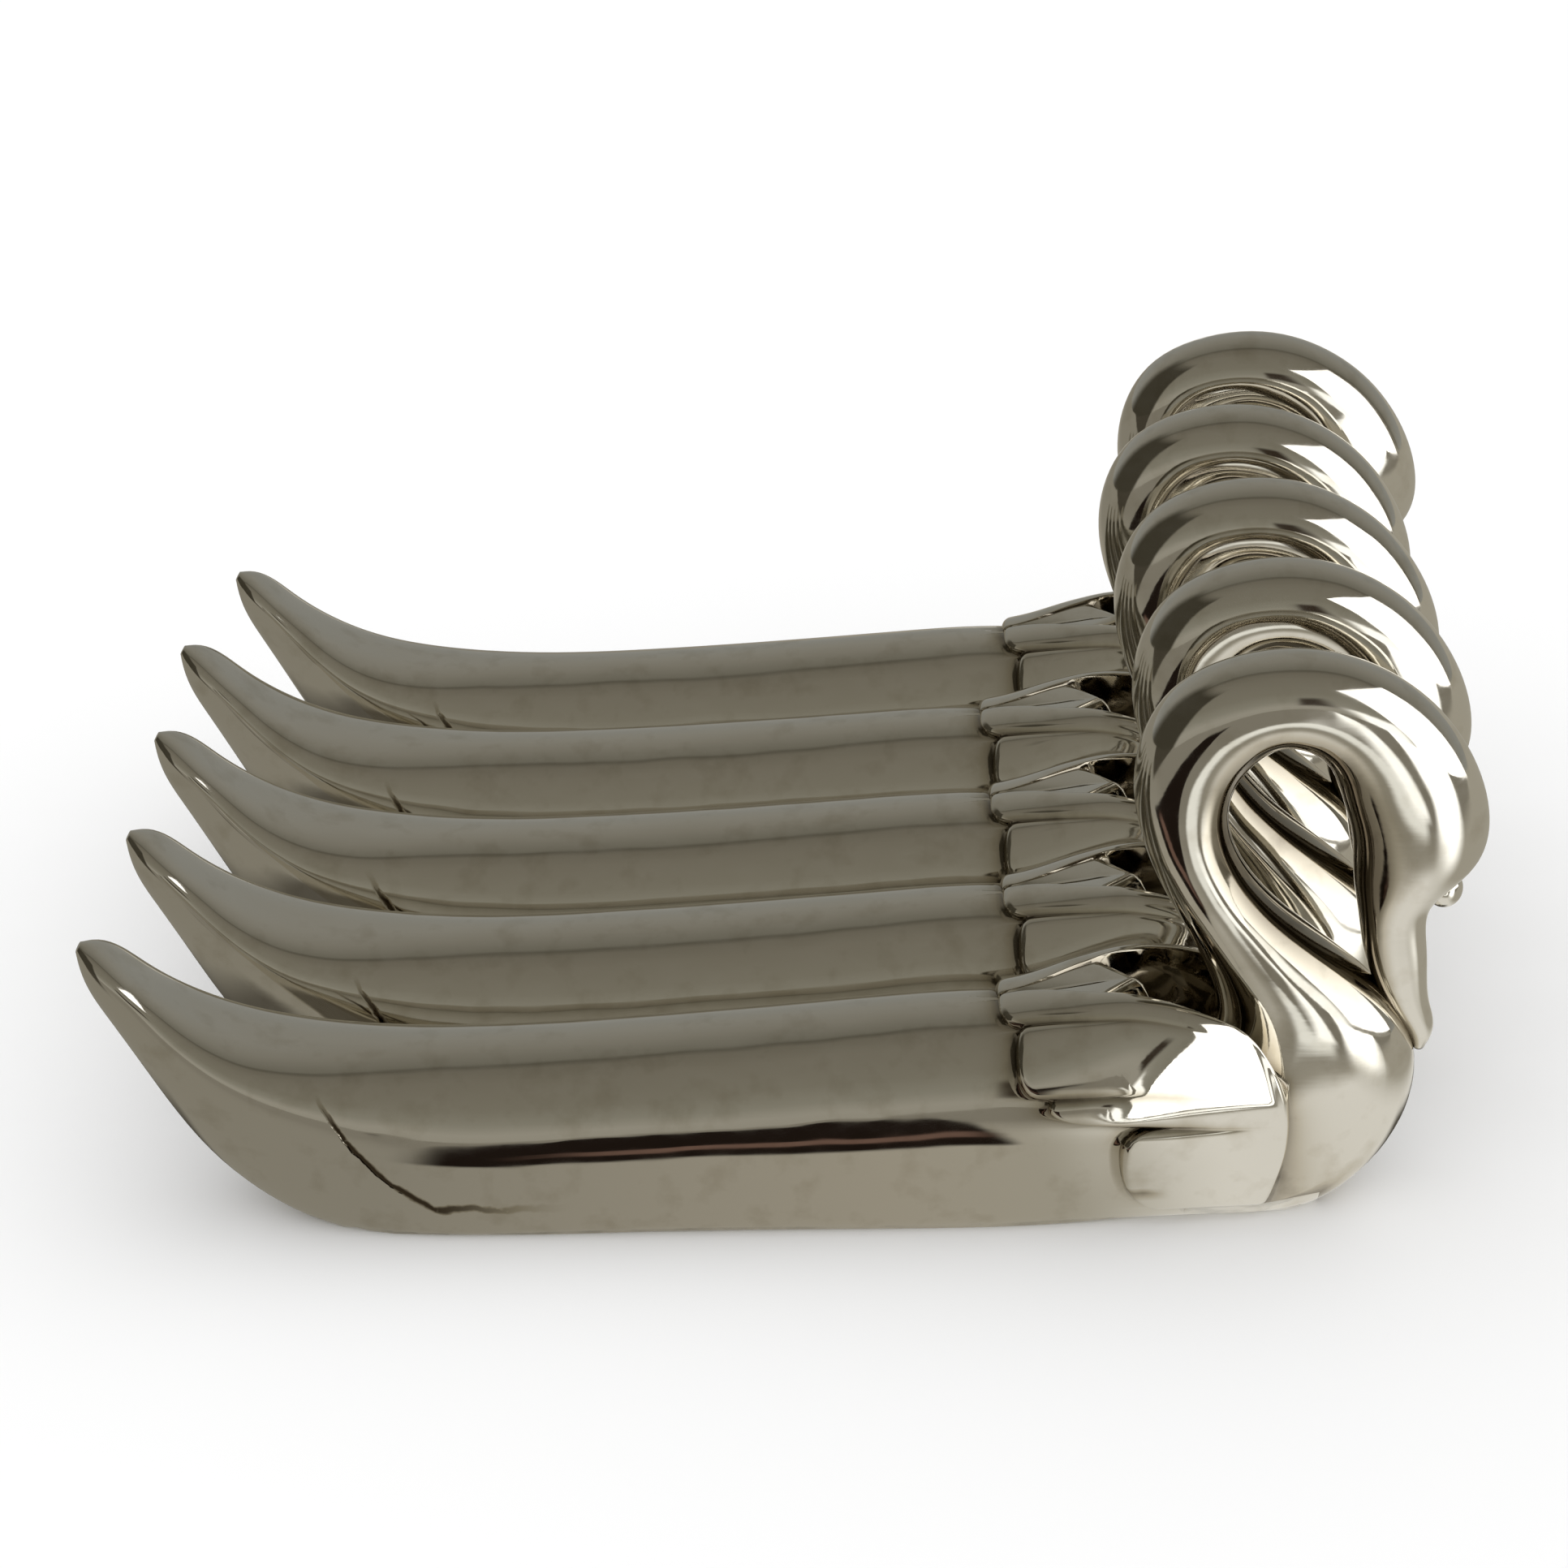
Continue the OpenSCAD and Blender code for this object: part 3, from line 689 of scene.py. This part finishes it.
def noise(tree, name, scale, detail, stretch=(1, 1, 1)):
    """Noise on the object's own coordinates, drawn out along the axes by a stretch."""
    where = tree.nodes.new("ShaderNodeTexCoord")
    shape = tree.nodes.new("ShaderNodeMapping")
    shape.inputs["Scale"].default_value = stretch
    node = tree.nodes.new("ShaderNodeTexNoise")
    node.name = node.label = name
    node.inputs["Scale"].default_value = scale
    node.inputs["Detail"].default_value = detail
    tree.links.new(where.outputs["Object"], shape.inputs["Vector"])
    tree.links.new(shape.outputs["Vector"], node.inputs["Vector"])
    return node.outputs["Fac"]


def bump(tree, height, distance, normal=None):
    """A bump of a given depth, on top of another one."""
    node = tree.nodes.new("ShaderNodeBump")
    node.inputs["Strength"].default_value = 1
    node.inputs["Distance"].default_value = distance
    tree.links.new(height, node.inputs["Height"])
    if normal is not None:
        tree.links.new(normal, node.inputs["Normal"])
    return node.outputs["Normal"]


def spread(tree, value, low, high, to_low=0.0, to_high=1.0, soft=False):
    """A scale from one range to another, held at both ends: straight, or with a soft
    start and end."""
    node = tree.nodes.new("ShaderNodeMapRange")
    node.interpolation_type = "SMOOTHSTEP" if soft else "LINEAR"
    for name, number in (("From Min", low), ("From Max", high), ("To Min", to_low),
                         ("To Max", to_high)):
        node.inputs[name].default_value = number
    tree.links.new(value, node.inputs["Value"])
    return node.outputs["Result"]


def formula(tree, operation, *values):
    """One step of arithmetic on sockets and numbers."""
    node = tree.nodes.new("ShaderNodeMath")
    node.operation = operation
    for socket, value in zip(node.inputs, values):
        if isinstance(value, (int, float)):
            socket.default_value = value
        else:
            tree.links.new(value, socket)
    return node.outputs[0]


def within(tree, *limits):
    """A mask that is 1 inside all limits: each one is a value, where the mask starts to
    rise and where it is full; a falling edge has them the other way round."""
    mask = None
    for value, start, full in limits:
        if start < full:
            edge = spread(tree, value, start, full, soft=True)
        else:
            edge = spread(tree, value, full, start, 1.0, 0.0, soft=True)
        mask = edge if mask is None else formula(tree, "MULTIPLY", mask, edge)
    return mask


def paint(tree, name, mask, under, colour):
    """A colour laid over another one where a mask says so."""
    node = tree.nodes.new("ShaderNodeMix")
    node.data_type = "RGBA"
    node.name = node.label = name
    tree.links.new(mask, node.inputs["Factor"])
    for socket, value in ((node.inputs["A"], under), (node.inputs["B"], colour)):
        if isinstance(value, tuple):
            socket.default_value = (*value, 1)
        else:
            tree.links.new(value, socket)
    return node.outputs["Result"]


def paint_areas(tree, axes, colour, areas):
    """Areas laid over a colour one after another, each bounded along named axes."""
    for name, limits, area_colour in areas:
        mask = within(tree, *((axes[axis], start, full) for axis, start, full in limits))
        colour = paint(tree, name, mask, colour, area_colour)
    return colour


def silver_material():
    """Polished silver plate: a slightly warm metal, tarnished in the grooves and darkened with
    painted shade where its mask says so, with the soft waves of a hand-polished casting,
    hairline scratches and a little wear."""
    material = bpy.data.materials.new("silver_plate")
    material.use_nodes = True
    tree = material.node_tree
    shader = tree.nodes["Principled BSDF"]
    shader.inputs["Metallic"].default_value = 1.0
    tarnish_and_shade = tree.nodes.new("ShaderNodeAttribute")
    tarnish_and_shade.attribute_name = "tarnish_and_shade"
    cloud = noise(tree, "tarnish clouds", 420, 4)
    # how dark the metal is: the mask of tarnish and painted shade, and clouds of tarnish
    dark = formula(tree, "MULTIPLY_ADD", tarnish_and_shade.outputs["Fac"], 0.85,
                   spread(tree, cloud, 0.52, 0.75, 0.0, 0.16))
    # a ragged seam runs slanting down the side at the root of the tail
    place = tree.nodes.new("ShaderNodeAttribute")
    place.attribute_name = "own_place"
    parts = tree.nodes.new("ShaderNodeSeparateXYZ")
    tree.links.new(place.outputs["Vector"], parts.inputs[0])
    ragged = noise(tree, "ragged seam", 480, 3)
    x, z = parts.outputs[0], parts.outputs[2]
    way = formula(tree, "MAXIMUM", formula(tree, "SUBTRACT", SEAM_FOOT, formula(
        tree, "MULTIPLY", x, 1000)), 0.0)
    fall = formula(tree, "MULTIPLY_ADD", formula(tree, "POWER", way, SEAM_POWER), SEAM_SCALE,
                   SEAM_LOW)
    fall = formula(tree, "MULTIPLY_ADD", ragged, SEAM_RAGGED, fall)
    off = formula(tree, "ABSOLUTE", formula(tree, "SUBTRACT", z, fall))
    seam = within(tree, (off, 0.00045, 0.00012), (z, 0.0112, 0.0088), (x, 0.0325, 0.0225),
                  (ragged, 0.28, 0.36))
    dark = formula(tree, "MAXIMUM", dark, seam)
    tint = ramp(tree, "silver to tarnish and painted shade", [
        (0.0, (0.86, 0.83, 0.76)), (0.35, (0.62, 0.57, 0.47)), (1.0, (0.10, 0.075, 0.05))])
    tree.links.new(dark, tint.inputs["Fac"])
    tree.links.new(tint.outputs["Color"], shader.inputs["Base Color"])
    wear = noise(tree, "wear", 900, 5, (0.4, 1, 1))
    tree.links.new(spread(tree, wear, 0.35, 0.7, 0.035, 0.11), shader.inputs["Roughness"])
    # the leaning side: its normal is turned most of the way to one that looks forward,
    # outward and up, on each side of the casting
    facing = tree.nodes.new("ShaderNodeNewGeometry")
    lean = tree.nodes.new("ShaderNodeAttribute")
    lean.attribute_name = "lean"
    aim = tree.nodes.new("ShaderNodeCombineXYZ")
    aim.inputs["X"].default_value, aim.inputs["Z"].default_value = LEAN_AIM[0], LEAN_AIM[2]
    side = formula(tree, "SIGN", parts.outputs[1])
    tree.links.new(formula(tree, "MULTIPLY", side, LEAN_AIM[1]), aim.inputs["Y"])
    own_aim = tree.nodes.new("ShaderNodeVectorTransform")
    own_aim.vector_type = "VECTOR"
    own_aim.convert_from, own_aim.convert_to = "OBJECT", "WORLD"
    tree.links.new(aim.outputs[0], own_aim.inputs[0])
    turned = tree.nodes.new("ShaderNodeMix")
    turned.data_type = "VECTOR"
    tree.links.new(formula(tree, "MULTIPLY", lean.outputs["Fac"], LEAN_TURN),
                   turned.inputs["Factor"])
    tree.links.new(facing.outputs["Normal"], turned.inputs["A"])
    tree.links.new(own_aim.outputs[0], turned.inputs["B"])
    unit = tree.nodes.new("ShaderNodeVectorMath")
    unit.operation = "NORMALIZE"
    tree.links.new(turned.outputs["Result"], unit.inputs[0])
    cut = bump(tree, formula(tree, "MULTIPLY", seam, -1), 0.00004, unit.outputs[0])
    waves = bump(tree, noise(tree, "polishing waves", 150, 1), 0.00015, cut)
    hairs = bump(tree, noise(tree, "hairlines", 700, 3, (0.06, 1, 1)), 0.000006, waves)
    tree.links.new(hairs, shader.inputs["Normal"])
    return material


def studio_world():
    """Soft white light all round. What the metal mirrors is a room, painted by the angle
    from the near horizon over the ceiling to the far one, and by the compass angle from
    the viewer to the right: dark to the left, with a dark patch and a light wall just to
    the right."""
    world = bpy.data.worlds.new("studio")
    world.use_nodes = True
    tree = world.node_tree
    where = tree.nodes.new("ShaderNodeTexCoord")
    parts = tree.nodes.new("ShaderNodeSeparateXYZ")
    tree.links.new(where.outputs["Generated"], parts.inputs[0])
    x, y, z = parts.outputs
    near = formula(tree, "MULTIPLY", y, -1)
    over = formula(tree, "ARCTAN2", z, near)
    compass = formula(tree, "DEGREES", formula(tree, "ARCTAN2", x, near))
    height = formula(tree, "DEGREES", formula(tree, "ARCSINE", z))
    room = ramp(tree, "room", [
        (0.0, (0.30, 0.285, 0.24)), (1.0, (0.27, 0.27, 0.25)),
        (0.04, (0.31, 0.295, 0.25)), (0.10, (0.235, 0.225, 0.185)),
        (0.20, (0.19, 0.178, 0.142)), (0.40, (0.17, 0.157, 0.125)),
        (0.50, (0.145, 0.133, 0.105)), (0.535, (0.095, 0.088, 0.068)),
        (0.56, (0.15, 0.142, 0.115)), (0.70, (0.205, 0.195, 0.165)),
        (0.82, (0.235, 0.228, 0.20)), (0.92, (0.24, 0.24, 0.22))])
    tree.links.new(spread(tree, over, 0.0, math.pi), room.inputs["Fac"])
    colour = paint_areas(tree, {"compass": compass, "height": height},
                         room.outputs["Color"], ROOM_AREAS)
    light = tree.nodes.new("ShaderNodeLightPath")
    colour = paint(tree, "room for the metal", light.outputs["Is Glossy Ray"], WHITE_WORLD,
                   colour)
    tree.links.new(colour, tree.nodes["Background"].inputs["Color"])
    return world


def table_material():
    """A plain white table top. In the metal alone it glows as a beige cloth with painted light
    and shade: bright where the window shines on it, darker to the left, painted shade between
    the rests, and darkest in a strip in front of the row."""
    material = bpy.data.materials.new("table_top")
    material.use_nodes = True
    tree = material.node_tree
    shader = tree.nodes["Principled BSDF"]
    shader.inputs["Base Color"].default_value = (0.9, 0.9, 0.9, 1)
    shader.inputs["Roughness"].default_value = 0.9
    shader.inputs["Specular IOR Level"].default_value = 0
    where = tree.nodes.new("ShaderNodeTexCoord")
    parts = tree.nodes.new("ShaderNodeSeparateXYZ")
    tree.links.new(where.outputs["Object"], parts.inputs[0])
    x, y = parts.outputs[0], parts.outputs[1]
    # the mirrored cloth, with painted light that grows from the left to the right
    cloth_and_light = ramp(tree, "mirrored cloth", [
        (0.0, (0.24, 0.225, 0.185)), (1.0, (0.36, 0.34, 0.285)),
        (0.3, (0.25, 0.235, 0.195)), (0.8, (0.34, 0.315, 0.26))])
    tree.links.new(spread(tree, x, -0.05, 0.02), cloth_and_light.inputs["Fac"])
    axes = {name: formula(tree, "MULTIPLY_ADD", y, slope, x)
            for name, slope in SLOPES.items()}
    colour = paint_areas(tree, {"x": x, "y": y, **axes}, cloth_and_light.outputs["Color"], TABLE_AREAS)
    # the painted light and shade glow for glossy rays alone, so only the metal mirrors them
    glow = tree.nodes.new("ShaderNodeEmission")
    tree.links.new(colour, glow.inputs["Color"])
    light = tree.nodes.new("ShaderNodeLightPath")
    pick = tree.nodes.new("ShaderNodeMixShader")
    tree.links.new(light.outputs["Is Glossy Ray"], pick.inputs["Fac"])
    tree.links.new(shader.outputs[0], pick.inputs[1])
    tree.links.new(glow.outputs[0], pick.inputs[2])
    tree.links.new(pick.outputs[0], tree.nodes["Material Output"].inputs["Surface"])
    return material


def window_light():
    """The window: a rectangular lamp that stands at two angles and a distance from the
    point that it faces, and that only the metal sees. Its power is its radiance times pi
    times its area."""
    data = bpy.data.lights.new("window", "AREA")
    data.shape = "RECTANGLE"
    data.size, data.size_y = WINDOW_SIZE
    data.energy = WINDOW_RADIANCE * math.pi * WINDOW_SIZE[0] * WINDOW_SIZE[1]
    lamp = bpy.data.objects.new("window", data)
    bpy.context.scene.collection.objects.link(lamp)
    turn, rise = (math.radians(angle) for angle in WINDOW_ANGLES)
    way = np.array([math.cos(rise) * math.sin(turn), -math.cos(rise) * math.cos(turn),
                    math.sin(rise)])
    lamp.location = np.array(WINDOW_AIM) + way * WINDOW_DISTANCE
    lamp.rotation_euler = (math.pi / 2 - rise, 0, turn)
    lamp.visible_diffuse = False


def swan_parts(p):
    """Points, quads, triangles and masks of one rest: the skin and the knob together, with
    painted shade in the corner round the knob."""
    points, quads, tris, mask = closed_skin(*swan_grid(p))
    k_points, k_quads, k_tris = knob_skin(p)
    shift = len(points)
    points = np.concatenate([points, k_points])
    quads = np.concatenate([quads, k_quads + shift])
    tris = np.concatenate([tris, k_tris + shift])
    away = np.linalg.norm(points[:shift] - k_points.mean(0), axis=1) - p.knob_d / 2
    # painted shade in the corner round the knob
    mask[:, 0] = np.maximum(mask[:, 0], 0.95 * ease(1 - away / 0.0007))
    return points, quads, tris, np.concatenate([mask, np.zeros((len(k_points), 2))])


def swan_object(p, name, node, turn, parts):
    """One rest, turned about its middle and let into the box of its CAD solid."""
    own, quads, tris, mask = parts
    c, s = math.cos(turn), math.sin(turn)
    x, y, z = own[:, 0] - p.hull_l / 2, own[:, 1], own[:, 2]
    points = np.stack([x * c - y * s, x * s + y * c, z], -1)
    low, high = (np.array(v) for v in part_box(node))
    least, most = points.min(0), points.max(0)
    points = low + (points - least) * (high - low) / (most - least)
    mesh = mesh_of(name, points, quads, tris, mask, own)
    piece = bpy.data.objects.new(name, mesh)
    bpy.context.scene.collection.objects.link(piece)
    return piece


class OBJECT_OT_add_swans(bpy.types.Operator):
    """Add the five rests of the set."""

    bl_idname = "object.add_swans"
    bl_label = "Add the swan rests"

    def execute(self, context):
        p = context.scene.swan_rests
        material = silver_material()
        parts = swan_parts(p)
        for node, body, share in zip(NODES, BODIES, TURN_SHARES):
            piece = swan_object(p, node + "_skin", node, p.turn * share, parts)
            piece.data.materials.append(material)
            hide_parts(node)
            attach(piece, body)
        return {"FINISHED"}


class SCENE_OT_add_rest_stage(bpy.types.Operator):
    """Add the table, the light and the camera."""

    bl_idname = "scene.add_rest_stage"
    bl_label = "Add the stage"

    def execute(self, context):
        scene = context.scene
        mesh = bpy.data.meshes.new("table_top")
        half = TABLE_HALF
        corners = [(-half, -half, 0), (half, -half, 0), (half, half, 0), (-half, half, 0)]
        mesh.from_pydata(corners, [], [(0, 1, 2, 3)])
        table = bpy.data.objects.new("table_top", mesh)
        scene.collection.objects.link(table)
        mesh.materials.append(table_material())
        scene.world = studio_world()
        window_light()
        data = bpy.data.cameras.new("photo_camera")
        data.lens, data.sensor_width = CAMERA_LENS, CAMERA_SENSOR
        data.clip_start, data.clip_end = 0.01, 20
        camera = bpy.data.objects.new("photo_camera", data)
        scene.collection.objects.link(camera)
        camera.location = CAMERA_PLACE
        camera.rotation_euler = (math.radians(CAMERA_TILT), 0, 0)
        scene.camera = camera
        scene.view_settings.view_transform = "Standard"
        return {"FINISHED"}


class VIEW3D_PT_swan_rests(bpy.types.Panel):
    """Panel of the knife rests in the sidebar of the 3D view."""

    bl_label = "Knife rests"
    bl_space_type = "VIEW_3D"
    bl_region_type = "UI"
    bl_category = "Knife rests"

    def draw(self, context):
        layout = self.layout
        p = context.scene.swan_rests
        for name in ("hull_l", "hull_w", "rest_h", "wing_span", "turn", "across", "along"):
            layout.prop(p, name)
        layout.operator("object.add_swans")
        layout.operator("scene.add_rest_stage")


CLASSES = (SwanProperties, OBJECT_OT_add_swans, SCENE_OT_add_rest_stage,
           VIEW3D_PT_swan_rests)


def register():
    """Make the property group, the operators and the panel known."""
    for cls in CLASSES:
        bpy.utils.register_class(cls)
    bpy.types.Scene.swan_rests = bpy.props.PointerProperty(type=SwanProperties)


def unregister():
    """Take them all away again."""
    del bpy.types.Scene.swan_rests
    for cls in reversed(CLASSES):
        bpy.utils.unregister_class(cls)


def main():
    """Build the set and its stage."""
    register()
    bpy.ops.object.add_swans()
    bpy.ops.scene.add_rest_stage()


if __name__ == "__main__":
    main()
